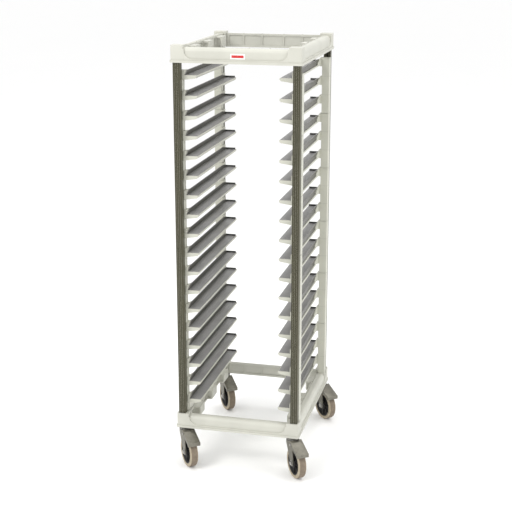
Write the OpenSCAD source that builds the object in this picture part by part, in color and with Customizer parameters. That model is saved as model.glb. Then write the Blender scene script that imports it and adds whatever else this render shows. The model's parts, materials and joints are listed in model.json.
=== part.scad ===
// Mobile rack for bakery trays: two moulded frames joined by four extruded posts,
// ladder modules that hook round the posts, tray rails and four braked casters.
// The rack opens towards -Y, stands on the floor at z = 0 and is centred on its own box.

/* [Frame] */
// Outside width of the frame
frame_w = 496; // [440:1:560]
// Outside depth of the frame
frame_d = 650; // [600:1:720]
// Overall height of the rack
rack_h = 1680; // [1650:1:1760]
// Height of the bottom corner blocks
base_h = 59; // [52:1:62]
// Height of the top corner blocks
top_h = 64; // [52:1:66]
// Side of the square corner blocks
corner_s = 48; // [46:1:56]
// How far the beams stay below the corner tops
beam_drop = 8; // [4:1:12]
// Thickness of the front and rear beams
beam_t = 34; // [34:1:44]
// Thickness of the side beams
side_beam_t = 40; // [36:1:46]

/* [Posts] */
// Width of a post
post_w = 28; // [26:1:32]
// Depth of a post
post_d = 28; // [24:1:30]
// Distance of a post from the outer faces of the frame
post_inset = 6; // [5:1:8]
// Wall thickness of a post
post_wall = 2.5; // [1.5:0.5:4]

/* [Tray levels] */
// Height between two levels
level_pitch = 76.2; // [70:0.1:80]
// Height of the lowest ledge above the floor
first_level = 271; // [268:1:280]
// Clear width between the rail walls
rail_gap = 404; // [400:1:408]
// Width of the ledge that carries the tray
ledge_w = 44; // [36:1:50]
// Height of the rail wall above the ledge
wall_up = 16; // [10:1:20]
// Height of the stop at the back of each rail
stop_h = 7; // [5:1:10]

/* [Casters] */
// Diameter of the wheels
wheel_d = 125; // [100:1:128]
// Width of the wheels
wheel_w = 32; // [28:1:34]
// Overall height of a caster
caster_h = 160; // [156:1:166]
// Distance from the swivel axis to the wheel axis
trail = 40; // [34:1:44]
// Distance from the outer faces of the frame to the swivel axis
caster_inset = 27; // [26:1:30]
// Direction in which the front left caster trails
turn_fl = -53; // [-75:1:-30]
// Direction in which the front right caster trails
turn_fr = -54; // [-75:1:-30]
// Direction in which the rear left caster trails
turn_rl = -54; // [-75:1:-30]
// Direction in which the rear right caster trails
turn_rr = -46; // [-75:1:-30]

/* [Hidden] */
$fn = 48;
eps = 0.01;

corners = ["fl", "fr", "rl", "rr"];
casters = ["caster_stem", "caster_fork", "brake_pedal", "caster_pins", "wheel_hub", "tyre"];
module_count = 6;
levels_each = 3;

// Colours
frame_colour = [0.84, 0.84, 0.80];
module_colour = [0.80, 0.80, 0.74];
post_colour = [0.34, 0.33, 0.27];
rail_colour = [0.48, 0.48, 0.46];
steel_colour = [0.60, 0.59, 0.57];
hub_colour = [0.08, 0.08, 0.08];
tyre_colour = [0.55, 0.49, 0.42];

// Frame heights
top_z = rack_h - top_h;
base_z = caster_h;

// Corner blocks
corner_r = 6;
lip_out = 3.5;
lip_h = 9;
socket_deep = 22;
socket_gap = 0.15;

// Beams
recess = 5;
rim_side = 4;
rim_bottom = 14;
rim_r = 33;
nose_r = 16;
pocket_deep = 4;
rib_w = 4;
end_ribs = [-190, -124, -46, 46, 124, 190];
end_bays = [for (i = [0 : 4]) [end_ribs[i], end_ribs[i + 1]]];
side_ribs = [-269, -224, -156, -94, -34, 34, 94, 156, 224, 269];
side_bays = [for (i = [0, 2, 3, 5, 6, 8]) [side_ribs[i], side_ribs[i + 1]]];
groove_w = 3;
groove_back = 3.5;
boss_at = [-190, 0, 190];
boss_len = 60;
boss_out = 28;
boss_r = 12;
boss_wall = 7;
boss_sink = 5;
tenon_l = 10;
tenon_w = 16;
tenon_in = 9;
tenon_z = 14;

// Screws between beams and corner blocks
screw_d = 5;
screw_l = 30;
screw_head_d = 8.5;
screw_head_h = 4;
screw_in = 5;

// Ladder modules
module_h = levels_each * level_pitch;
seam = 1.4;
foot_below = 57;
column_w = 31;
column_d = 32;
column_r = 2.5;
column_wall = 3;
column_gap = 0.3;
tongue_w = 7.4;
slot_w = 8;
head_w = 14;
hook_t = 2.5;
cap_t = 4;
cap_h = 18.5;
nose_h = 11.5;
nose_bevel = 5;
ear_t = 3.8;
ear_l = 66;
ear_up = 18;
ear_down = 17;
nose_w = 2.2;

// Rails
rail_t = 3;
rail_down = 5;
front_cut = 30;
rear_cut = 60;
fit_gap = 0.2;

wall_in = rail_gap / 2;
wall_out = wall_in + rail_t;
ledge_in = wall_in - ledge_w;
rail_in = ledge_in + nose_w;
post_x = frame_w / 2 - post_inset - post_w / 2;
column_in = post_x + 1 - column_w / 2;
column_front = frame_d / 2 - post_inset - post_d - column_gap;
column_back = column_front - column_d;
cap_back = column_front - cap_t;
beam_top = base_z + base_h - beam_drop;

// Casters
wheel_r = wheel_d / 2;
core_r = 49;
bond_gap = 0.3;
stem_d = 20;
stem_l = 26;
flange_d = 52;
head_d = 48;
head_drop = 6;
head_h = 9;
crown_h = 10;
crown_back = 13;
kingpin_d = 12;
kingpin_l = 21;
leg_gap = 37;
leg_t = 3.5;
leg_r = 13;
axle_d = 10;
axle_head_d = 17;
axle_head_h = 6;
run = 0.05;
pin_x = 34;
pin_z = 138;
pin_d = 6;
knuckle_r = 6;
knuckle_l = 36;
pedal_w = 50;
skirt_t = 2.4;
pedal_t = 3;
pedal_start = [27, 152.5];
pedal_end = [97, 120];
pedal_tip_z = 106;

// The casters overhang the frame, so the rack is centred on the box round everything.
// reach is how far a caster of one direction sticks out along a direction.
function corner_reach(far, half, angle) = far * cos(angle) + half * abs(sin(angle));
function reach(turn, dir) = max(
    corner_reach(trail + wheel_r, wheel_w / 2, turn - dir),
    corner_reach(pedal_end[0] + pedal_t, pedal_w / 2, turn - dir)
);
overhang_right = max(reach(turn_fr, 0), reach(turn_rr, 0)) - caster_inset - lip_out;
overhang_front = max(reach(turn_fl, -90), reach(turn_fr, -90)) - caster_inset - lip_out;
centre_x = overhang_right / 2;
centre_y = -overhang_front / 2;

// ---------------------------------------------------------------- placing

module centred() {
    translate([-centre_x, -centre_y, 0]) children();
}

// Corner pieces are drawn with +X and +Y pointing inwards from the outer faces.
module in_corner(sx, sy) {
    centred()
        translate([sx * frame_w / 2, sy * frame_d / 2, 0])
            mirror([sx > 0 ? 1 : 0, 0, 0])
                mirror([0, sy > 0 ? 1 : 0, 0])
                    children();
}

// Beams are drawn along X with the outer face on y = 0 and +Y pointing inwards.
module on_front() {
    centred() translate([0, -frame_d / 2, 0]) children();
}

module on_rear() {
    centred() translate([0, frame_d / 2, 0]) rotate([0, 0, 180]) children();
}

module on_side(sx) {
    centred()
        translate([sx * frame_w / 2, 0, 0])
            rotate([0, 0, 90 * sx])
                children();
}

// Casters are drawn round their swivel axis, trailing along +X.
module on_caster(sx, sy, turn) {
    centred()
        translate([sx * (frame_w / 2 - caster_inset), sy * (frame_d / 2 - caster_inset), 0])
            rotate([0, 0, turn])
                children();
}

// Draws the profile's X as Y and its Y as Z, and runs it along X.
module along_x(length) {
    rotate([90, 0, 90]) linear_extrude(length) children();
}

// Draws the profile's X as X and its Y as Z, and runs it along Y.
module along_y(length) {
    translate([0, length, 0]) rotate([90, 0, 0]) linear_extrude(length) children();
}

module rounded_rect(w, h, r) {
    translate([r, 0]) square([w - 2 * r, h]);
    translate([0, r]) square([w, h - 2 * r]);
    for (x = [r, w - r], y = [r, h - r]) translate([x, y]) circle(r);
}

// ---------------------------------------------------------------- corner blocks

module one_round_square(s, r) {
    translate([r, 0]) square([s - r, s]);
    translate([0, r]) square([s, s - r]);
    translate([r, r]) circle(r);
}

module corner_solid(h) {
    linear_extrude(h) one_round_square(corner_s, corner_r);
    linear_extrude(lip_h)
        translate([-lip_out, -lip_out])
            one_round_square(corner_s + lip_out, corner_r + lip_out);
}

module tenon_sockets(h) {
    size = [tenon_l + socket_gap + eps, tenon_w + 2 * socket_gap, h - 2 * tenon_z - beam_drop
        + 2 * socket_gap];
    at = [corner_s - tenon_l - socket_gap, tenon_in - socket_gap, tenon_z - socket_gap];
    translate(at) cube(size);
    mirror([1, -1, 0]) translate(at) cube(size);
}

module corner_screw_holes() {
    at = [corner_s - screw_in, tenon_in + tenon_w / 2, -eps];
    for (flip = [0, 1]) mirror([flip, -flip, 0]) translate(at) {
        cylinder(h = screw_l + 1, d = screw_d + 0.2);
        cylinder(h = screw_head_h + 0.2, d = screw_head_d + 0.4);
    }
}

module post_socket(z) {
    translate([post_inset - socket_gap, post_inset - socket_gap, z])
        cube([post_w + 2 * socket_gap, post_d + 2 * socket_gap, socket_deep + eps]);
}

// Lets the foot of the column down to the level of the beams.
module column_seat() {
    x = frame_w / 2 - column_in - column_w - column_gap;
    y = post_inset + post_d;
    translate([x, y, base_h - beam_drop])
        cube([column_w + 2 * column_gap, corner_s, beam_drop + 1]);
}

module bottom_corner() {
    color(frame_colour) translate([0, 0, base_z]) difference() {
        corner_solid(base_h);
        tenon_sockets(base_h);
        corner_screw_holes();
        post_socket(base_h - socket_deep);
        column_seat();
        translate([caster_inset, caster_inset, -eps]) cylinder(h = stem_l, d = stem_d + 2 * run);
    }
}

module top_corner() {
    color(frame_colour) translate([0, 0, top_z]) difference() {
        corner_solid(top_h);
        tenon_sockets(top_h);
        corner_screw_holes();
        post_socket(-eps);
    }
}

// ---------------------------------------------------------------- beams

// Cross-section behind the outer rim, with its upper outer edge rounded.
module beam_section(h, t) {
    translate([recess, 0]) square([t - recess, h - nose_r]);
    translate([recess + nose_r, 0]) square([t - recess - nose_r, h]);
    intersection() {
        translate([recess + nose_r, h - nose_r]) circle(nose_r);
        translate([recess, 0]) square([t - recess, h]);
    }
}

// Outline of the shallow panel in the outer face: open above, with large round lower corners.
module panel_outline(half, h) {
    translate([-half, rim_bottom + rim_r]) square([2 * half, h]);
    translate([rim_r - half, rim_bottom]) square([2 * (half - rim_r), h]);
    for (s = [-1, 1]) translate([s * (half - rim_r), rim_bottom + rim_r]) circle(rim_r);
}

module outer_rim(length, h) {
    half = length / 2;
    along_y(recess) difference() {
        translate([-half, 0]) square([length, h - recess]);
        panel_outline(half - rim_side, h);
    }
    translate([-half, -lip_out, 0]) cube([length, lip_out + recess, lip_h]);
}

module tenons(length, h) {
    for (s = [0, 1]) mirror([s, 0, 0]) difference() {
        translate([length / 2 - 1, tenon_in, tenon_z])
            cube([tenon_l + 1, tenon_w, h - 2 * tenon_z]);
        translate([length / 2 + screw_in, tenon_in + tenon_w / 2, 0])
            cylinder(h = screw_l + 1, d = screw_d + 0.2);
    }
}

module inner_bays(bays, h, t) {
    for (bay = bays)
        translate([bay[0] + rib_w / 2, t - pocket_deep, lip_h - 1])
            along_y(pocket_deep + 1)
                rounded_rect(bay[1] - bay[0] - rib_w, h - lip_h - 7, 6);
}

module top_groove(ribs, h, t) {
    half = ribs[len(ribs) - 1];
    difference() {
        translate([-half, t - groove_back - groove_w, h - 3]) cube([2 * half, groove_w, 4]);
        for (x = ribs) translate([x - rib_w / 2, 0, 0]) cube([rib_w, t, h + 5]);
    }
}

module rib_tops(ribs, h, t) {
    for (i = [1 : len(ribs) - 2])
        translate([ribs[i] - rib_w / 2, t - groove_back - groove_w - 1, h - 2])
            cube([rib_w, groove_w + 3, 3.5]);
}

module beam(length, h, t, ribs, bays) {
    color(frame_colour) {
        difference() {
            translate([-length / 2, 0, 0]) along_x(length) beam_section(h, t);
            inner_bays(bays, h, t);
            top_groove(ribs, h, t);
        }
        outer_rim(length, h);
        tenons(length, h);
        rib_tops(ribs, h, t);
    }
}

// Boss on the inner face of a side beam, sunk a little at both ends.
module boss_section(h) {
    high = h - 7;
    square([boss_out - boss_r, high]);
    translate([0, boss_r]) square([boss_out, high - boss_r]);
    translate([boss_out - boss_r, boss_r]) circle(boss_r);
}

module boss(h, t) {
    translate([-boss_len / 2, t - 1, 4]) difference() {
        along_x(boss_len) boss_section(h);
        for (x = [-1, boss_len - boss_sink])
            translate([x, 4, boss_wall])
                along_x(boss_sink + 1)
                    rounded_rect(boss_out - boss_wall - 4, h - 7 - 2 * boss_wall, 5);
    }
}

module end_beam(h) {
    beam(frame_w - 2 * corner_s, h - beam_drop, beam_t, end_ribs, end_bays);
}

module side_beam(h) {
    beam(frame_d - 2 * corner_s, h - beam_drop, side_beam_t, side_ribs, side_bays);
    color(frame_colour) for (x = boss_at) translate([x, 0, 0]) boss(h - beam_drop, side_beam_t);
}

// Square pads under the feet of the columns.
module foot_pads() {
    half = frame_d / 2 - corner_s;
    pad_l = half - column_back;
    high = nose_r + 2;
    at = [half - pad_l, frame_w / 2 - column_in - column_w, base_h - beam_drop - high];
    color(frame_colour) for (s = [0, 1]) mirror([s, 0, 0]) translate(at) cube([pad_l, column_w, high]);
}

module bottom_side_beam() {
    side_beam(base_h);
    foot_pads();
}

// ---------------------------------------------------------------- screws and label

module screw() {
    cylinder(h = screw_head_h, d = screw_head_d);
    cylinder(h = screw_l, d = screw_d);
}

module corner_screws(z) {
    at = [corner_s - screw_in, tenon_in + tenon_w / 2, z];
    for (flip = [0, 1]) mirror([flip, -flip, 0]) translate(at) screw();
}

module frame_screws() {
    color(steel_colour)
        for (sx = [-1, 1], sy = [-1, 1], z = [base_z, top_z]) in_corner(sx, sy) corner_screws(z);
}

label_w = 56;
label_h = 20;
label_t = 1.2;
label_x = 8;
label_z = 17;

module label_plate() {
    color("white")
        on_front()
            translate([label_x - label_w / 2, recess - label_t, top_z + label_z])
                along_y(label_t)
                    rounded_rect(label_w, label_h, 2);
}

// ---------------------------------------------------------------- posts

post_r = 4;
flute_w = 1.4;
flute_at = [7, 14, 21];
groove_at = 21;

module post_outline() {
    translate([post_r, 0]) square([post_w - 2 * post_r, post_d]);
    translate([0, post_r]) square([post_w, post_d - post_r]);
    for (x = [post_r, post_w - post_r]) translate([x, post_r]) circle(post_r);
}

// The front is fluted, each side has a groove, and a slot runs down the back.
module post_section() {
    difference() {
        post_outline();
        translate([post_wall, post_wall])
            square([post_w - 2 * post_wall, post_d - 2 * post_wall]);
        for (x = flute_at) translate([x - flute_w / 2, -eps]) square([flute_w, 0.6]);
        for (x = [-eps, post_w - 1]) translate([x, groove_at]) square([1 + eps, 2]);
        translate([(post_w - slot_w) / 2, post_d - post_wall - 1]) square([slot_w, post_wall + 2]);
    }
}

module post() {
    low = base_z + base_h - socket_deep;
    high = top_z + socket_deep;
    color(post_colour)
        translate([post_inset, post_inset, low + 0.1])
            linear_extrude(high - low - 0.2)
                post_section();
}

// ---------------------------------------------------------------- ladder modules

function ledge_z(level) = first_level + level * level_pitch;

// One half is drawn for +X and -Y, then mirrored.
module on_half(sx, sy) {
    mirror([sx < 0 ? 1 : 0, 0, 0]) mirror([0, sy > 0 ? 1 : 0, 0]) children();
}

// Cross-section of a column seen from above, with the T-shaped tongue that runs in a post.
module column_section() {
    translate([column_in, -column_front]) difference() {
        rounded_rect(column_w, column_d, column_r);
        translate([column_wall, column_wall])
            square([column_w - 2 * column_wall, column_d - 2 * column_wall]);
    }
    stem_l = post_wall + 2 * column_gap + 1;
    translate([post_x - tongue_w / 2, -column_front - stem_l]) square([tongue_w, stem_l + 1]);
    translate([post_x - head_w / 2, -column_front - stem_l - hook_t + 1]) square([head_w, hook_t]);
}

module carrier_section() {
    lip_x = wall_out + fit_gap + ear_t;
    difference() {
        polygon([
            [ledge_in, -2],
            [ledge_in + 1, -0.6],
            [rail_in - fit_gap, -0.6],
            [rail_in - fit_gap, -rail_t - fit_gap],
            [wall_in - fit_gap, -rail_t - fit_gap],
            [wall_in - fit_gap, -rail_down - fit_gap],
            [lip_x, -rail_down - fit_gap],
            [lip_x, -nose_h],
            [ledge_in + nose_bevel, -nose_h],
            [ledge_in, -nose_h + nose_bevel]
        ]);
        translate([ledge_in + 2 * nose_bevel, -nose_h - 1])
            square([ledge_w - 2 * nose_bevel - rail_t, nose_h - rail_t - 2]);
    }
}

module cap() {
    translate([0, -column_front, 0])
        along_y(cap_t)
            polygon([
                [ledge_in, 0],
                [column_in + 1, 0],
                [column_in + 1, -cap_h],
                [ledge_in + nose_bevel, -nose_h],
                [ledge_in, -nose_h + nose_bevel]
            ]);
}

// Fills the gap between rail wall and column, and runs out along the rail as a gusset.
module ear() {
    x = wall_out + fit_gap;
    back = -column_back;
    translate([x, -column_front, -ear_down])
        cube([column_in - x + 1, column_d, ear_down + ear_up]);
    translate([x, 0, 0]) along_x(ear_t) polygon([
        [back - 1, ear_up],
        [back + 10, ear_up - 1],
        [back + 30, ear_up - 5],
        [back + ear_l - 18, ear_up - 9],
        [back + ear_l, 2],
        [back + ear_l, -nose_h + 1],
        [back + 34, -nose_h],
        [back + 12, -ear_down + 3],
        [back - 1, -ear_down]
    ]);
}

module level_support() {
    translate([0, -cap_back - 1, 0]) along_y(2 * cap_back + 2) carrier_section();
    for (sy = [-1, 1]) on_half(1, sy) {
        cap();
        ear();
    }
}

// number counts from the bottom of the stack; the first module reaches down to the beam.
module side_module(sx, number) {
    first = (number - 1) * levels_each;
    top = ledge_z(first) - foot_below + module_h - seam;
    low = number == 1 ? beam_top : ledge_z(first) - foot_below;
    color(module_colour) centred() on_half(sx, -1) {
        for (sy = [-1, 1])
            on_half(1, sy)
                translate([0, 0, low])
                    linear_extrude(top - low)
                        column_section();
        for (i = [0 : levels_each - 1])
            translate([0, 0, ledge_z(first + i)]) level_support();
    }
}

// ---------------------------------------------------------------- rails

// Side view of the rail wall, sloping down at both ends.
module wall_outline() {
    half = cap_back - fit_gap;
    polygon([
        [-half, -rail_down],
        [half, -rail_down],
        [half, stop_h],
        [half - rear_cut, wall_up],
        [front_cut - half, wall_up],
        [-half, 2]
    ]);
}

module rail() {
    half = cap_back - fit_gap;
    translate([wall_in, 0, 0]) along_x(rail_t) wall_outline();
    translate([rail_in, -half, -rail_t]) cube([wall_in - rail_in + eps, 2 * half, rail_t]);
    translate([rail_in + 1, half - 3, -eps]) cube([wall_in - rail_in, 3, stop_h]);
}

module side_rails(sx) {
    color(rail_colour) centred() on_half(sx, -1)
        for (level = [0 : module_count * levels_each - 1])
            translate([0, 0, ledge_z(level)]) rail();
}

// ---------------------------------------------------------------- casters

head_top = caster_h - head_drop + 0.5;
crown_top = head_top - head_h;
crown_low = crown_top - crown_h;

module caster_stem() {
    color(steel_colour) {
        translate([0, 0, head_top + 0.5]) cylinder(h = caster_h - head_top - 0.5, d = flange_d);
        cylinder_up = stem_l - 1;
        translate([0, 0, caster_h - 1]) cylinder(h = cylinder_up, d = stem_d);
        translate([0, 0, head_top - kingpin_l]) cylinder(h = kingpin_l + 1, d = kingpin_d);
    }
}

module leg_outline() {
    translate([trail, wheel_r]) circle(leg_r);
    polygon([
        [-crown_back, crown_top],
        [24, crown_top + 3],
        [46, crown_low + 1],
        [trail + leg_r, wheel_r + 2],
        [trail - leg_r, wheel_r - 2],
        [-crown_back, crown_low - 4]
    ]);
}

module fork_leg() {
    translate([0, leg_gap / 2, 0])
        along_y(leg_t)
            difference() {
                leg_outline();
                translate([trail, wheel_r]) circle(d = axle_d + 2 * run);
                translate([pin_x, pin_z]) circle(d = pin_d + 2 * run);
            }
}

module caster_fork() {
    bore = kingpin_d + 2 * run;
    color(steel_colour) {
        difference() {
            union() {
                translate([0, 0, crown_top - 1]) cylinder(h = head_h + 1, d = head_d);
                translate([-crown_back, -leg_gap / 2 - 1, crown_low])
                    cube([crown_back + head_d / 2 - 2, leg_gap + 2, crown_h]);
            }
            translate([0, 0, crown_low - 1]) cylinder(h = crown_h + head_h + 3, d = bore);
        }
        fork_leg();
        mirror([0, 1, 0]) fork_leg();
    }
}

module axle_bolt() {
    half = leg_gap / 2 + leg_t;
    translate([trail, 0, wheel_r]) rotate([90, 0, 0]) {
        translate([0, 0, -half]) cylinder(h = 2 * half, d = axle_d);
        translate([0, 0, half]) cylinder(h = axle_head_h, d = axle_head_d, $fn = 6);
        translate([0, 0, -half - axle_head_h]) cylinder(h = axle_head_h, d = axle_head_d, $fn = 6);
    }
}

module pedal_pin() {
    half = pedal_w / 2 + 0.2;
    translate([pin_x, half + 2, pin_z]) rotate([90, 0, 0]) {
        cylinder(h = 2 * half + 4, d = pin_d);
        cylinder(h = 2, d = pin_d + 4);
        translate([0, 0, 2 * half + 2]) cylinder(h = 2, d = pin_d + 4);
    }
}

module caster_pins() {
    color(steel_colour) {
        axle_bolt();
        pedal_pin();
    }
}

pedal_slope = atan2(pedal_start[1] - pedal_end[1], pedal_end[0] - pedal_start[0]);
pedal_len = norm(pedal_end - pedal_start);

module pedal_side() {
    translate([pedal_start[0], pedal_start[1] - pedal_t])
        rotate(-pedal_slope)
            square([pedal_len, pedal_t]);
    translate([pedal_end[0], pedal_tip_z])
        square([pedal_t, pedal_end[1] - pedal_tip_z]);
    translate([pedal_end[0] + pedal_t / 2, pedal_end[1] - pedal_t / 2]) circle(pedal_t / 2 + 0.6);
}

// Side cheek of the pedal, outside the fork leg.
module pedal_skirt() {
    translate([0, pedal_w / 2 - skirt_t, 0]) along_y(skirt_t) difference() {
        polygon([
            [pedal_start[0], pedal_start[1] - 1],
            [pedal_end[0], pedal_end[1] - 1],
            [pedal_end[0] + 2, pedal_tip_z],
            [pedal_end[0] - 4, pedal_tip_z],
            [pedal_end[0] - 9, pedal_tip_z + 6],
            [pin_x + 11, pin_z - 10],
            [pin_x - 6, pin_z - 8]
        ]);
        translate([pin_x, pin_z]) circle(d = pin_d + 2 * run);
    }
}

module brake_pedal() {
    bore = pin_d + 2 * run;
    color(steel_colour) {
        translate([0, -pedal_w / 2, 0]) along_y(pedal_w) pedal_side();
        pedal_skirt();
        mirror([0, 1, 0]) pedal_skirt();
        difference() {
            translate([pin_x - knuckle_r, -knuckle_l / 2, pin_z])
                cube([2 * knuckle_r, knuckle_l, 9]);
            translate([pin_x, knuckle_l / 2 + 1, pin_z])
                rotate([90, 0, 0])
                    cylinder(h = knuckle_l + 2, d = bore);
        }
        difference() {
            translate([pin_x, knuckle_l / 2, pin_z])
                rotate([90, 0, 0])
                    cylinder(h = knuckle_l, r = knuckle_r);
            translate([pin_x, knuckle_l / 2 + 1, pin_z])
                rotate([90, 0, 0])
                    cylinder(h = knuckle_l + 2, d = bore);
        }
    }
}

hub_rim_t = 4;
hub_w = 34;
web_half = 5;

module wheel_hub() {
    color(hub_colour) translate([trail, 0, wheel_r]) rotate([90, 0, 0]) rotate_extrude() {
        translate([axle_d / 2 + run, -hub_w / 2]) square([8, hub_w]);
        translate([axle_d / 2 + run + 7, -web_half]) square([core_r - axle_d / 2 - 7, 2 * web_half]);
        translate([core_r - hub_rim_t, -wheel_w / 2 + 1]) square([hub_rim_t, wheel_w - 2]);
    }
}

tread_r = 6;

module tyre() {
    color(tyre_colour) translate([trail, 0, wheel_r]) rotate([90, 0, 0]) rotate_extrude() {
        in = core_r + bond_gap;
        translate([in, -wheel_w / 2]) square([wheel_r - tread_r - in, wheel_w]);
        translate([in, -wheel_w / 2 + tread_r]) square([wheel_r - in, wheel_w - 2 * tread_r]);
        for (s = [-1, 1])
            translate([wheel_r - tread_r, s * (wheel_w / 2 - tread_r)]) circle(tread_r);
    }
}

module caster_part(part) {
    if (part == "caster_stem") caster_stem();
    if (part == "caster_fork") caster_fork();
    if (part == "brake_pedal") brake_pedal();
    if (part == "caster_pins") caster_pins();
    if (part == "wheel_hub") wheel_hub();
    if (part == "tyre") tyre();
}

// ---------------------------------------------------------------- nodes

side_signs = [-1, 1, -1, 1];
end_signs = [-1, -1, 1, 1];
turns = [turn_fl, turn_fr, turn_rl, turn_rr];

on_front() translate([0, 0, top_z]) end_beam(top_h);  // top_front_beam
on_rear() translate([0, 0, top_z]) end_beam(top_h);  // top_rear_beam
on_side(-1) translate([0, 0, top_z]) side_beam(top_h);  // top_left_beam
on_side(1) translate([0, 0, top_z]) side_beam(top_h);  // top_right_beam
on_front() translate([0, 0, base_z]) end_beam(base_h);  // bottom_front_beam
on_rear() translate([0, 0, base_z]) end_beam(base_h);  // bottom_rear_beam
on_side(-1) translate([0, 0, base_z]) bottom_side_beam();  // bottom_left_beam
on_side(1) translate([0, 0, base_z]) bottom_side_beam();  // bottom_right_beam
side_rails(-1);  // left_rails
side_rails(1);  // right_rails
label_plate();
frame_screws();
for (i = [1 : module_count]) {
    side_module(-1, i);
    side_module(1, i);
}
for (i = [0 : 3]) {
    sx = side_signs[i];
    sy = end_signs[i];
    in_corner(sx, sy) top_corner();
    in_corner(sx, sy) bottom_corner();
    in_corner(sx, sy) post();
    for (part = casters)
        on_caster(sx, sy, turns[i]) caster_part(part);
}
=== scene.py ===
"""Looks for a mobile sheet pan rack: softened mouldings, detailed casters, procedural materials.

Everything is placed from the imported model's own boxes and joints, in metres, +Z up.
"""

import json
import math

import bmesh
import bpy
from mathutils import Matrix, Vector


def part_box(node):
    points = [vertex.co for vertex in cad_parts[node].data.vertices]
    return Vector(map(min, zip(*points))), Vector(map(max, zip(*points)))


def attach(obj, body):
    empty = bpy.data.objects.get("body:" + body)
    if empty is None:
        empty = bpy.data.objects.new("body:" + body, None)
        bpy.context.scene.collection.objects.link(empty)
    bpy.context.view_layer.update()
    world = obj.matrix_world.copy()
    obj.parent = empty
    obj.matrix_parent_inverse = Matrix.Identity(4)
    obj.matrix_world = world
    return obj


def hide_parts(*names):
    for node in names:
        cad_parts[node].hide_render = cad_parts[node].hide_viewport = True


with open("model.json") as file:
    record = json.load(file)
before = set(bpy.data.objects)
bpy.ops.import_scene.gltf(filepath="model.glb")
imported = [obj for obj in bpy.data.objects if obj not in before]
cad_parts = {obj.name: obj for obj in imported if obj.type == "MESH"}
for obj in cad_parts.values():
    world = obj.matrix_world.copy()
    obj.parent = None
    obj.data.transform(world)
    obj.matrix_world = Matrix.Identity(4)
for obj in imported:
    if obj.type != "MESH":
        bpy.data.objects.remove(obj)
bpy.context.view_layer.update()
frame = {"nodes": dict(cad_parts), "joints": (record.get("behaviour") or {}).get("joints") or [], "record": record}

CORNERS = ("fl", "fr", "rl", "rr")
MODULES_PER_SIDE = 6
LEVELS_PER_MODULE = 3

# Mesh cleaning: weld distance in metres, and angles in radians.
WELD = 2e-6
FLAT_ANGLE = 0.004
SHARP_ANGLE = math.radians(38)

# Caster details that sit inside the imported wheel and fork, in metres.
BOND_GAP = 0.0003
TYRE_HALF_WIDTH = 0.016
SHOULDER_RADIUS = 0.0055
SIDEWALL_GROOVE_DEPTH = 0.0088
WEB_HALF = 0.005
BOSS_RADIUS = 0.0130
HUB_BORE = 0.0051
HUB_RIBS = 8
RIB_WIDTH, RIB_THICKNESS = 0.0065, 0.0032
AXLE_CLEAR = 0.0052

# The camera's lens in mm, its turn and tilt in radians, and its place in metres.
LENS = 82.2
CAMERA_TURN, CAMERA_TILT = 0.239, 0.275
CAMERA_AT = (1.0601, -4.4390, 2.1001)

FLOOR_HALF = 150
WORLD_STRENGTH = 1.06
# name, place, target, size, watts, colour
LIGHTS = (
    ("Key", (-2.4, -3.6, 4.4), (0, 0, 0.8), (1.8, 1.8), 120, (1, 0.99, 0.97)),
    ("Side", (4.2, -1.6, 2.4), (0, 0, 0.9), (2.4, 2.4), 50, (1, 1, 0.99)),
    ("Top", (0.4, 0.6, 5.2), (0, 0, 1.0), (2.4, 2.4), 60, (1, 1, 1)),
)

RECORD = frame["record"]
JOINTS = {joint["name"]: joint for joint in frame["joints"]}
BODY_OF = {
    node: body
    for body, nodes in RECORD["behaviour"]["bodies"].items()
    for node in nodes
}
SLOT_OF = {part["node"]: part["material_slot"] for part in RECORD["subparts"]}


# ------------------------------------------------------------------ material graphs


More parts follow.
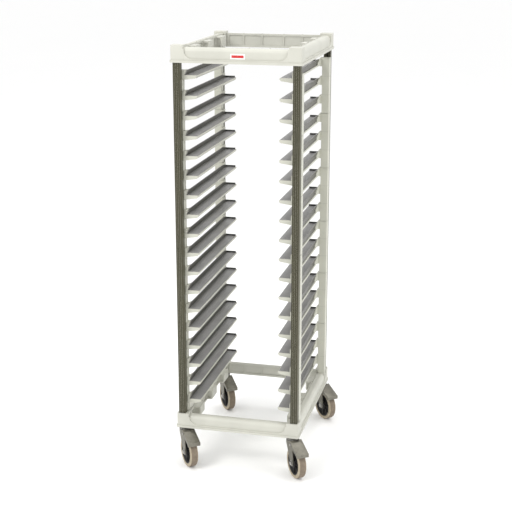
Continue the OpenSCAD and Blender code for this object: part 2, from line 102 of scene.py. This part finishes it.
class Graph:
    """A small builder for one procedural material."""

    def __init__(self, name):
        self.material = bpy.data.materials.new(name)
        self.material.use_nodes = True
        self.tree = self.material.node_tree
        self.shader = self.tree.nodes["Principled BSDF"]
        coords = self.add("ShaderNodeTexCoord")
        self.point = coords.outputs["Object"]
        self.normal = coords.outputs["Normal"]

    def add(self, kind, **settings):
        node = self.tree.nodes.new(kind)
        for key, value in settings.items():
            setattr(node, key, value)
        return node

    def link(self, source, target):
        self.tree.links.new(source, target)

    def put(self, node, socket, value):
        """Links an output, or sets a plain value."""
        if isinstance(value, bpy.types.NodeSocket):
            self.link(value, node.inputs[socket])
        else:
            node.inputs[socket].default_value = value

    def stretched(self, scale):
        """The object's own coordinates, in metres, scaled per axis."""
        node = self.add("ShaderNodeMapping")
        self.link(self.point, node.inputs["Vector"])
        node.inputs["Scale"].default_value = scale
        return node.outputs["Vector"]

    def noise(self, scale, detail=3.0, roughness=0.5, stretch=(1, 1, 1)):
        """Soft noise, with scale in cells per metre."""
        node = self.add("ShaderNodeTexNoise")
        self.link(self.stretched(stretch), node.inputs["Vector"])
        node.inputs["Scale"].default_value = scale
        node.inputs["Detail"].default_value = detail
        node.inputs["Roughness"].default_value = roughness
        return node.outputs["Fac"]

    def cells(self, scale):
        """Distance to the nearest of scattered points, for pebbles and spangle."""
        node = self.add("ShaderNodeTexVoronoi", feature="F1")
        self.link(self.stretched((1, 1, 1)), node.inputs["Vector"])
        node.inputs["Scale"].default_value = scale
        return node.outputs["Distance"]

    def math(self, operation, first, second=0.0, clamp=False):
        node = self.add("ShaderNodeMath", operation=operation, use_clamp=clamp)
        self.put(node, 0, first)
        self.put(node, 1, second)
        return node.outputs[0]

    def spread(self, source, low, high, start=0.0, end=1.0):
        """Maps source from start..end to low..high."""
        node = self.add("ShaderNodeMapRange")
        self.link(source, node.inputs["Value"])
        node.inputs["From Min"].default_value = start
        node.inputs["From Max"].default_value = end
        node.inputs["To Min"].default_value = low
        node.inputs["To Max"].default_value = high
        return node.outputs["Result"]

    def mix(self, factor, first, second):
        """Blends two colours, each a link or an RGB triple."""
        node = self.add("ShaderNodeMix", data_type="RGBA")
        self.put(node, 0, factor)
        for socket, value in ((6, first), (7, second)):
            plain = not isinstance(value, bpy.types.NodeSocket)
            self.put(node, socket, (*value, 1.0) if plain else value)
        return node.outputs[2]

    def part(self, vector, axis):
        """One component of a vector."""
        node = self.add("ShaderNodeSeparateXYZ")
        self.link(vector, node.inputs[0])
        return node.outputs[axis]

    def facing(self, axis):
        """1 on faces that look along one of the object's axes, either way."""
        size = self.math("ABSOLUTE", self.part(self.normal, axis))
        return self.spread(size, 0, 1, 0.55, 0.85)

    def lines(self, axis, start, pitch, width):
        """1 on thin lines that repeat along an axis, 0 between them."""
        along = self.math("SUBTRACT", self.part(self.point, axis), start)
        along = self.math("DIVIDE", along, pitch)
        off = self.math("ABSOLUTE", self.math("SUBTRACT", along, self.math("ROUND", along)))
        return self.spread(off, 1, 0, width * 0.25 / pitch, width * 0.75 / pitch)

    def edges(self, radius, gain):
        """Near 1 along outer and inner edges, 0 on open faces."""
        bevel = self.add("ShaderNodeBevel", samples=4)
        bevel.inputs["Radius"].default_value = radius
        plain = self.add("ShaderNodeNewGeometry").outputs["Normal"]
        dot = self.add("ShaderNodeVectorMath", operation="DOT_PRODUCT")
        self.link(bevel.outputs["Normal"], dot.inputs[0])
        self.link(plain, dot.inputs[1])
        bend = self.math("SUBTRACT", 1.0, dot.outputs["Value"])
        return self.math("MULTIPLY", bend, gain, clamp=True)

    def crevices(self, distance):
        """Near 1 in tight corners: used for painted shade there, and for dust on the wheel centre."""
        node = self.add("ShaderNodeAmbientOcclusion", samples=6)
        node.inputs["Distance"].default_value = distance
        return self.math("SUBTRACT", 1.0, node.outputs["AO"], clamp=True)

    def bump(self, height, distance, strength=1.0, below=None):
        node = self.add("ShaderNodeBump")
        node.inputs["Strength"].default_value = strength
        node.inputs["Distance"].default_value = distance
        self.link(height, node.inputs["Height"])
        if below is not None:
            self.link(below, node.inputs["Normal"])
        return node.outputs["Normal"]

    def finish(self, colour, roughness, normal, metallic=0.0, **sockets):
        self.put(self.shader, "Base Color", colour)
        self.put(self.shader, "Roughness", roughness)
        self.link(normal, self.shader.inputs["Normal"])
        self.shader.inputs["Metallic"].default_value = metallic
        for socket, value in sockets.items():
            self.shader.inputs[socket.replace("_", " ")].default_value = value
        return self.material


def toned(colour, share):
    """A colour made darker or lighter by a share."""
    return tuple(min(1.0, channel * share) for channel in colour)


def moulded_plastic(name, colour, rings=None):
    """Pale moulding: cloudy tone, eggshell grain, painted shade in corners, painted highlight on edges.

    rings is the height of one level line and the pitch of the others.
    """
    grain = 0.00004
    g = Graph(name)
    clouds = g.noise(9.0, 4.0)
    specks = g.noise(420.0, 2.0)
    tone = g.mix(g.spread(clouds, 0, 1, 0.35, 0.65), toned(colour, 0.95), toned(colour, 1.04))
    tone = g.mix(g.spread(specks, 0, 0.18, 0.62, 0.75), tone, toned(colour, 0.74))
    # Painted shade in the corners: a darker, yellower tone where the corners close in.
    corner_shade = g.math("MULTIPLY", g.crevices(0.010), 0.28)
    tone = g.mix(corner_shade, tone, (colour[0] * 0.44, colour[1] * 0.43, colour[2] * 0.36))
    # Painted highlight along the edges, patchy.
    edge_highlight = g.math("MULTIPLY", g.edges(0.0012, 5.0), g.spread(g.noise(60.0), 0.2, 0.8, 0.4, 0.6))
    tone = g.mix(edge_highlight, tone, toned(colour, 1.22))
    rough = g.spread(g.noise(24.0, 5.0), 0.38, 0.54)
    relief = g.bump(g.noise(1500.0, 2.0), grain)
    relief = g.bump(g.noise(30.0, 2.0), 0.0006, 0.25, relief)
    if rings:
        upright = g.math("SUBTRACT", 1.0, g.facing(2))
        line_width = 0.0022
        line = g.math("MULTIPLY", g.lines(2, *rings, line_width), upright)
        tone = g.mix(g.math("MULTIPLY", line, 0.22), tone, toned(colour, 0.42))
    return g.finish(tone, rough, relief, Specular_IOR_Level=0.45)


def dark_extrusion(name):
    """Anodised extrusion: fine lines along its length, sides painted lighter than the front as painted light,
    painted shade in corners and a painted highlight on edges.
    """
    g = Graph(name)
    # front is the front faces' colour with painted shade, side the sides' colour with painted light; facing(0)
    # picks between them.
    front, side = (0.052, 0.048, 0.024), (0.112, 0.106, 0.064)
    lines = g.noise(260.0, 3.0, 0.6, stretch=(1, 1, 0.012))
    patches = g.noise(6.0, 3.0, stretch=(1, 1, 0.3))
    colour = g.mix(g.facing(0), front, side)
    tone = g.mix(g.spread(lines, 0, 0.55, 0.3, 0.7), colour, (0.018, 0.016, 0.010))
    tone = g.mix(g.spread(patches, 0, 0.25, 0.4, 0.7), tone, (0.080, 0.078, 0.056))
    # Painted shade in the corners.
    tone = g.mix(g.math("MULTIPLY", g.crevices(0.004), 0.7), tone, (0.012, 0.011, 0.008))
    # Painted highlight along the edges.
    tone = g.mix(g.math("MULTIPLY", g.edges(0.0011, 4.0), 0.75), tone, (0.46, 0.45, 0.36))
    rough = g.spread(lines, 0.36, 0.52)
    relief = g.bump(lines, 0.00010, 0.7)
    return g.finish(tone, rough, relief, metallic=0.2, Anisotropic=0.3, Specular_IOR_Level=0.35)


def textured_rail(name):
    """Grey plastic: ribbed ledges, walls painted darker as painted shade, and black stops, told apart by facing; a
    painted highlight on edges.
    """
    g = Graph(name)
    # The wall colour is the ledge plastic darkened as painted shade, for faces that look along X.
    ledge, wall_in_shade, stop = (0.196, 0.190, 0.190), (0.078, 0.075, 0.062), (0.014, 0.013, 0.012)
    pebbles = g.cells(520.0)
    clouds = g.noise(14.0, 4.0)
    ribs = g.lines(0, 0.0, 0.003, 0.0016)
    colour = g.mix(g.facing(0), ledge, wall_in_shade)
    colour = g.mix(g.facing(1), colour, stop)
    tone = g.mix(g.spread(clouds, 0, 0.35, 0.3, 0.7), colour, (0.060, 0.058, 0.052))
    flat = g.facing(2)
    tone = g.mix(g.math("MULTIPLY", g.math("MULTIPLY", ribs, flat), 0.35), tone, (0.40, 0.40, 0.41))
    tone = g.mix(g.spread(pebbles, 0.22, 0, 0.0, 0.55), tone, (0.30, 0.30, 0.29))
    # Painted highlight along the edges.
    tone = g.mix(g.math("MULTIPLY", g.edges(0.0009, 4.0), 0.45), tone, (0.36, 0.36, 0.34))
    rough = g.spread(pebbles, 0.24, 0.40, 0.0, 0.6)
    relief = g.bump(pebbles, 0.00014, 0.5)
    relief = g.bump(g.math("MULTIPLY", ribs, flat), 0.0003, 0.8, relief)
    return g.finish(tone, rough, relief, Specular_IOR_Level=0.5)


def zinc_plate(name, colour=(0.185, 0.176, 0.146), shine=0.0):
    """Dulled zinc plating: soft spangle, brushed streaks, painted shade in the corners and a painted highlight on
    edges.
    """
    g = Graph(name)
    spangle = g.cells(130.0)
    smear = g.noise(38.0, 5.0, 0.6)
    tone = g.mix(g.spread(smear, 0, 1, 0.35, 0.7), toned(colour, 0.70), toned(colour, 1.20))
    tone = g.mix(g.spread(spangle, 0, 0.25, 0.0, 0.7), tone, toned(colour, 1.35))
    # Painted shade in the corners.
    recess_shade = g.math("MULTIPLY", g.crevices(0.012), 0.85)
    tone = g.mix(recess_shade, tone, (0.040, 0.036, 0.030))
    # Painted highlight along the edges.
    tone = g.mix(g.math("MULTIPLY", g.edges(0.0010, 4.0), 0.7), tone, toned(colour, 2.3))
    rough = g.spread(smear, 0.30 - shine, 0.52 - shine)
    relief = g.bump(g.noise(700.0, 3.0), 0.00006, 0.6)
    return g.finish(tone, rough, relief, metallic=0.75)


def tread(name, colour, wear):
    """Wheel rubber: mottled, with fine scuffs and dust."""
    g = Graph(name)
    mottle = g.noise(75.0, 5.0, 0.62)
    scuffs = g.noise(420.0, 4.0)
    tone = g.mix(g.spread(mottle, 0, 1, 0.32, 0.68), toned(colour, 0.80), toned(colour, 1.14))
    tone = g.mix(g.spread(scuffs, 0, wear, 0.55, 0.72), tone, toned(colour, 0.55))
    rough = g.spread(mottle, 0.58, 0.78)
    relief = g.bump(scuffs, 0.00022, 0.6)
    return g.finish(tone, rough, relief, Specular_IOR_Level=0.35)


def black_moulding(name):
    """Wheel centre: near-black plastic with dust in its corners."""
    g = Graph(name)
    dust = g.math("MULTIPLY", g.crevices(0.010), g.spread(g.noise(120.0, 4.0), 0.2, 0.9))
    tone = g.mix(g.spread(g.noise(60.0), 0, 1), (0.010, 0.010, 0.011), (0.022, 0.021, 0.021))
    tone = g.mix(dust, tone, (0.050, 0.046, 0.040))
    rough = g.spread(g.noise(200.0, 3.0), 0.46, 0.62)
    relief = g.bump(g.noise(900.0, 2.0), 0.00006, 0.7)
    return g.finish(tone, rough, relief, Specular_IOR_Level=0.35)


def printed_plate(name, colour, gloss):
    """Enamel on the label, with faint orange peel."""
    g = Graph(name)
    peel = g.spread(g.noise(160.0, 3.0), 0, 1, 0.4, 0.6)
    tone = g.mix(peel, toned(colour, 0.92), toned(colour, 1.05))
    rough = g.spread(g.noise(80.0), gloss, gloss + 0.12)
    relief = g.bump(g.noise(380.0, 1.0), 0.00008, 0.4)
    return g.finish(tone, rough, relief, Coat_Weight=0.3)


def studio_floor(name):
    """White paper with a trace of unevenness."""
    g = Graph(name)
    tone = g.mix(g.spread(g.noise(0.6, 3.0), 0, 1), (0.925, 0.925, 0.925), (0.935, 0.935, 0.93))
    relief = g.bump(g.noise(60.0, 2.0), 0.0002, 0.3)
    return g.finish(tone, 0.7, relief)


def level_rings():
    """Height of one joint line between ladder modules, and the pitch of the levels."""
    second, third = (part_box("left_module_%d" % number)[0].z for number in (2, 3))
    return second, (third - second) / LEVELS_PER_MODULE


MATERIALS = {
    "frame_plastic": moulded_plastic("FramePlastic", (0.503, 0.501, 0.446)),
    # ModulePlastic is the frame plastic made a little lighter, as painted light.
    "module_plastic": moulded_plastic("ModulePlastic", (0.512, 0.512, 0.444), rings=level_rings()),
    "post_metal": dark_extrusion("PostExtrusion"),
    "rail_plastic": textured_rail("RailPlastic"),
    "label_plastic": printed_plate("LabelRed", (0.52, 0.022, 0.022), 0.22),
    "screw_steel": zinc_plate("ScrewZinc", (0.40, 0.39, 0.37), 0.06),
    "caster_steel": zinc_plate("CasterZinc"),
    "hub_plastic": black_moulding("WheelCentre"),
    "tread_rubber": tread("TreadBrown", (0.200, 0.160, 0.118), 0.35),
}
SHOULDER = tread("TreadShoulder", (0.40, 0.345, 0.255), 0.30)
LABEL_WHITE = printed_plate("LabelWhite", (0.80, 0.80, 0.78), 0.30)
SEAL = tread("SealRubber", (0.030, 0.029, 0.028), 0.20)


# ------------------------------------------------------------------ mesh helpers


def new_piece(name, bm, material, body):
    """Makes an object from bm, shades it, and fixes it to a CAD body."""
    mesh = bpy.data.meshes.new(name)
    bm.to_mesh(mesh)
    bm.free()
    mesh.materials.append(material)
    piece = bpy.data.objects.new(name, mesh)
    bpy.context.scene.collection.objects.link(piece)
    mesh.shade_smooth()
    mesh.set_sharp_from_angle(angle=SHARP_ANGLE)
    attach(piece, body)
    return piece


def add_bevel(piece, width, segments=2):
    """Rounds the piece's sharp edges."""
    bevel = piece.modifiers.new("Soft edges", "BEVEL")
    bevel.width = width
    bevel.segments = segments
    bevel.limit_method = "ANGLE"
    bevel.angle_limit = SHARP_ANGLE
    bevel.use_clamp_overlap = True
    bevel.harden_normals = True


def clean_copy(node):
    """The CAD node's mesh, welded and with its flat faces merged."""
    bm = bmesh.new()
    bm.from_mesh(frame["nodes"][node].data)
    bmesh.ops.remove_doubles(bm, verts=bm.verts, dist=WELD)
    flat = [e for e in bm.edges if len(e.link_faces) == 2 and e.calc_face_angle(0) < FLAT_ANGLE]
    bmesh.ops.dissolve_edges(bm, edges=flat, use_verts=False, use_face_split=False)
    pairs = [v for v in bm.verts if len(v.link_edges) == 2]
    straight = [v for v in pairs if v.calc_edge_angle(0) < FLAT_ANGLE]
    bmesh.ops.dissolve_verts(bm, verts=straight)
    return bm


def softened(node, width, segments=2):
    """A copy of a CAD node with its sharp edges rounded over, shown in its place."""
    slot = SLOT_OF[node]
    piece = new_piece(node + "_soft", clean_copy(node), MATERIALS[slot], BODY_OF[node])
    add_bevel(piece, width, segments)
    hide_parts(node)


def turned(name, profile, place, material, body, steps=72):
    """Lathes (radius, along-axis) points round the local Y axis, then moves them to place."""
    bm = bmesh.new()
    verts = [bm.verts.new((r, y, 0)) for r, y in profile]
    loop = verts + [verts[0]]
    for a, b in zip(loop, loop[1:]):
        bm.edges.new((a, b))
    geom = bm.verts[:] + bm.edges[:]
    bmesh.ops.spin(
        bm, geom=geom, cent=(0, 0, 0), axis=(0, 1, 0), angle=2 * math.pi, steps=steps,
        use_merge=True, use_duplicate=False,
    )
    bmesh.ops.remove_doubles(bm, verts=bm.verts, dist=1e-7)
    bmesh.ops.recalc_face_normals(bm, faces=bm.faces)
    bmesh.ops.transform(bm, matrix=place, verts=bm.verts)
    return new_piece(name, bm, material, body)


def arc(centre, radius, start, end, steps=6):
    """Points on a circle arc, angles in degrees."""
    points = []
    for i in range(steps + 1):
        a = math.radians(start + (end - start) * i / steps)
        points.append((centre[0] + radius * math.cos(a), centre[1] + radius * math.sin(a)))
    return points


def caster_frame(corner, joint):
    """The caster's own axes: X the way it trails, Z up, at one of its joints."""
    swivel = Vector(JOINTS["caster_swivel_" + corner]["pos_m"])
    wheel = Vector(JOINTS["wheel_spin_" + corner]["pos_m"])
    along = Vector((wheel.x - swivel.x, wheel.y - swivel.y, 0)).normalized()
    across = Vector((-along.y, along.x, 0))
    at = Vector(JOINTS[joint + "_" + corner]["pos_m"])
    axes = Matrix((along, across, Vector((0, 0, 1)))).transposed().to_4x4()
    return Matrix.Translation(at) @ axes


# ------------------------------------------------------------------ casters


def radius_of(node):
    """Half the height of a wheel part's box."""
    low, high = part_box(node)
    return (high.z - low.z) / 2


def tyre_piece(corner):
    """Brown tread between paler shoulders, on a core that matches the wheel centre."""
    outer, core = radius_of("tyre_" + corner), radius_of("wheel_hub_" + corner) + BOND_GAP
    half, side = TYRE_HALF_WIDTH, SHOULDER_RADIUS
    groove = outer - SIDEWALL_GROOVE_DEPTH
    profile = [(core, -half + 0.001), (core + 0.001, -half)]
    profile += [(groove - 0.0006, -half), (groove, -half + 0.0009), (groove + 0.0006, -half)]
    profile += arc((outer - side, -half + side), side, -90, 0, 8)
    profile += [(r, -y) for r, y in reversed(profile)]
    place = caster_frame(corner, "wheel_spin")
    piece = turned("tyre_tread_" + corner, profile, place, MATERIALS["tread_rubber"],
                   "wheel_" + corner, steps=96)
    piece.data.materials.append(SHOULDER)
    inverse = place.inverted()
    for face in piece.data.polygons:
        spot = inverse @ face.center
        face.material_index = int(abs(spot.y) > half - side * 0.55)
    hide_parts("tyre_" + corner)


def hub_piece(corner):
    """Dished centre with a rim, a web, a boss and eight ribs on each side."""
    place = caster_frame(corner, "wheel_spin")
    rim, web, boss = radius_of("wheel_hub_" + corner), WEB_HALF, BOSS_RADIUS
    profile = [(HUB_BORE, -0.017), (boss - 0.002, -0.017)]
    profile += [(boss, -0.0155), (boss + 0.001, -web - 0.002)]
    profile += [(boss + 0.003, -web), (rim - 0.0085, -web), (rim - 0.0055, -web - 0.002)]
    profile += [(rim - 0.0040, -0.0135), (rim - 0.0025, -0.0148), (rim, -0.0148)]
    profile += [(r, -y) for r, y in reversed(profile)]
    black, body = MATERIALS["hub_plastic"], "wheel_" + corner
    piece = turned("wheel_centre_" + corner, profile, place, black, body)
    bm = bmesh.new()
    for side in (-1, 1):
        for i in range(HUB_RIBS):
            turn = Matrix.Rotation(math.tau * i / HUB_RIBS, 4, "Y")
            size = Matrix.Diagonal((rim - boss - 0.004, RIB_WIDTH, RIB_THICKNESS, 1))
            spot = Matrix.Translation(((rim + boss) / 2 - 0.001, side * (web + 0.0030), 0))
            bmesh.ops.create_cube(bm, size=1, matrix=place @ turn @ spot @ size)
    ribs = new_piece("wheel_ribs_" + corner, bm, black, body)
    add_bevel(ribs, 0.0007)
    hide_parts("wheel_hub_" + corner)


def head_rings(corner):
    """Dark seals above and below the swivel race, and the bright rolled lip of the race.

    Each ring is given by its height, its radius and the radius of its section.
    """
    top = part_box("caster_fork_" + corner)[1].z
    swivel = Vector(JOINTS["caster_swivel_" + corner]["pos_m"])
    flat = Matrix.Rotation(math.radians(90), 4, "X")
    turning = "caster_" + corner
    for name, z, radius, thick, material, body in (
        ("upper_seal_", top + 0.0003, 0.0240, 0.0014, SEAL, "frame"),
        ("lower_seal_", top - 0.0072, 0.0242, 0.0013, SEAL, turning),
        ("race_lip_", top - 0.0034, 0.0246, 0.0019, MATERIALS["screw_steel"], turning),
    ):
        place = Matrix.Translation((swivel.x, swivel.y, z)) @ flat
        ring = arc((radius, 0), thick, 0, 330, 11)
        turned(name + corner, ring, place, material, body)


def fork_details(corner):
    """Thread guards beside the wheel and washers under the axle's head and nut."""
    place = caster_frame(corner, "wheel_spin")
    for side in (-1, 1):
        tag = ("near_" if side < 0 else "far_") + corner
        guard = [(AXLE_CLEAR, 0.0173), (0.0165, 0.0173), (0.0195, 0.0165), (0.0198, 0.0169)]
        guard += [(0.0170, 0.0182), (AXLE_CLEAR, 0.0182)]
        turned("thread_guard_" + tag, [(r, side * y) for r, y in guard], place,
               MATERIALS["hub_plastic"], "caster_" + corner, 48)
        washer = [(AXLE_CLEAR, 0.0221), (0.0105, 0.0221), (0.0112, 0.0226), (0.0112, 0.0232)]
        washer += [(0.0105, 0.0237), (AXLE_CLEAR, 0.0237)]
        turned("axle_washer_" + tag, [(r, side * y) for r, y in washer], place,
               MATERIALS["screw_steel"], "caster_" + corner, 48)


def caster(corner):
    """Everything that shows on one caster."""
    tyre_piece(corner)
    hub_piece(corner)
    head_rings(corner)
    fork_details(corner)
    softened("caster_stem_" + corner, 0.0006)
    softened("caster_fork_" + corner, 0.0010)
    softened("brake_pedal_" + corner, 0.0010)
    softened("caster_pins_" + corner, 0.0006)


# ------------------------------------------------------------------ frame and rails


def label():
    """A red bar on a white plate; the bar carries no lettering."""
    low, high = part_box("label_plate")
    centre = (low + high) / 2
    half_w, half_h = (high.x - low.x) / 2, (high.z - low.z) / 2
    for name, inset, front, material in (
        ("label_backing", 0.0, low.y + 0.0004, LABEL_WHITE),
        ("label_bar", 0.0052, low.y, MATERIALS["label_plastic"]),
    ):
        bm = bmesh.new()
        size = Matrix.Diagonal((2 * (half_w - inset), high.y - front, 2 * (half_h - inset), 1))
        spot = Matrix.Translation((centre.x, (high.y + front) / 2, centre.z))
        bmesh.ops.create_cube(bm, size=1, matrix=spot @ size)
        upright = [e for e in bm.edges if abs((e.verts[0].co - e.verts[1].co).y) > 1e-6]
        bmesh.ops.bevel(bm, geom=upright, offset=0.002, segments=5, affect="EDGES", profile=0.5)
        piece = new_piece(name, bm, material, BODY_OF["label_plate"])
        add_bevel(piece, 0.0002)
        if name == "label_bar":
            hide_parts("label_plate")


def mouldings():
    """Frames, corner blocks, ladder modules and rails, with their edges softened."""
    for level in ("top", "bottom"):
        for side in ("front", "rear", "left", "right"):
            softened(f"{level}_{side}_beam", 0.0012)
        for corner in CORNERS:
            softened(f"{level}_corner_{corner}", 0.0014, 3)
    for side in ("left", "right"):
        for number in range(1, MODULES_PER_SIDE + 1):
            softened(f"{side}_module_{number}", 0.0008)
        softened(side + "_rails", 0.0005)


def plain_nodes():
    """CAD nodes that keep their own mesh get their procedural material."""
    for node, shown in frame["nodes"].items():
        if not shown.hide_render:
            shown.data.materials.clear()
            shown.data.materials.append(MATERIALS[SLOT_OF[node]])


# ------------------------------------------------------------------ studio


def area_light(name, at, target, size, power, colour):
    """A soft light that faces its target."""
    data = bpy.data.lights.new(name, "AREA")
    data.shape = "RECTANGLE"
    data.size, data.size_y = size
    data.energy = power
    data.color = colour
    light = bpy.data.objects.new(name, data)
    light.location = at
    light.rotation_mode = "QUATERNION"
    light.rotation_quaternion = (Vector(target) - Vector(at)).to_track_quat("-Z", "Y")
    bpy.context.scene.collection.objects.link(light)


def studio():
    """Floor, even white surroundings and three soft lights."""
    bm = bmesh.new()
    bmesh.ops.create_grid(bm, x_segments=8, y_segments=8, size=FLOOR_HALF)
    mesh = bpy.data.meshes.new("Floor")
    bm.to_mesh(mesh)
    bm.free()
    mesh.materials.append(studio_floor("FloorPaper"))
    floor = bpy.data.objects.new("Floor", mesh)
    bpy.context.scene.collection.objects.link(floor)
    world = bpy.data.worlds.new("Studio")
    world.use_nodes = True
    backdrop = world.node_tree.nodes["Background"]
    backdrop.inputs["Color"].default_value = (1, 1, 1, 1)
    backdrop.inputs["Strength"].default_value = WORLD_STRENGTH
    bpy.context.scene.world = world
    for light in LIGHTS:
        area_light(*light)
    bpy.context.scene.view_settings.view_transform = "Standard"


def camera():
    """A long lens from the front right, a little above the rack's top."""
    data = bpy.data.cameras.new("Camera")
    data.lens = LENS
    data.sensor_width = 36.0
    data.clip_end = 400
    view = bpy.data.objects.new("Camera", data)
    view.location = CAMERA_AT
    view.rotation_euler = (math.pi / 2 - CAMERA_TILT, 0, CAMERA_TURN)
    bpy.context.scene.collection.objects.link(view)
    bpy.context.scene.camera = view


mouldings()
label()
for corner in CORNERS:
    caster(corner)
plain_nodes()
studio()
camera()
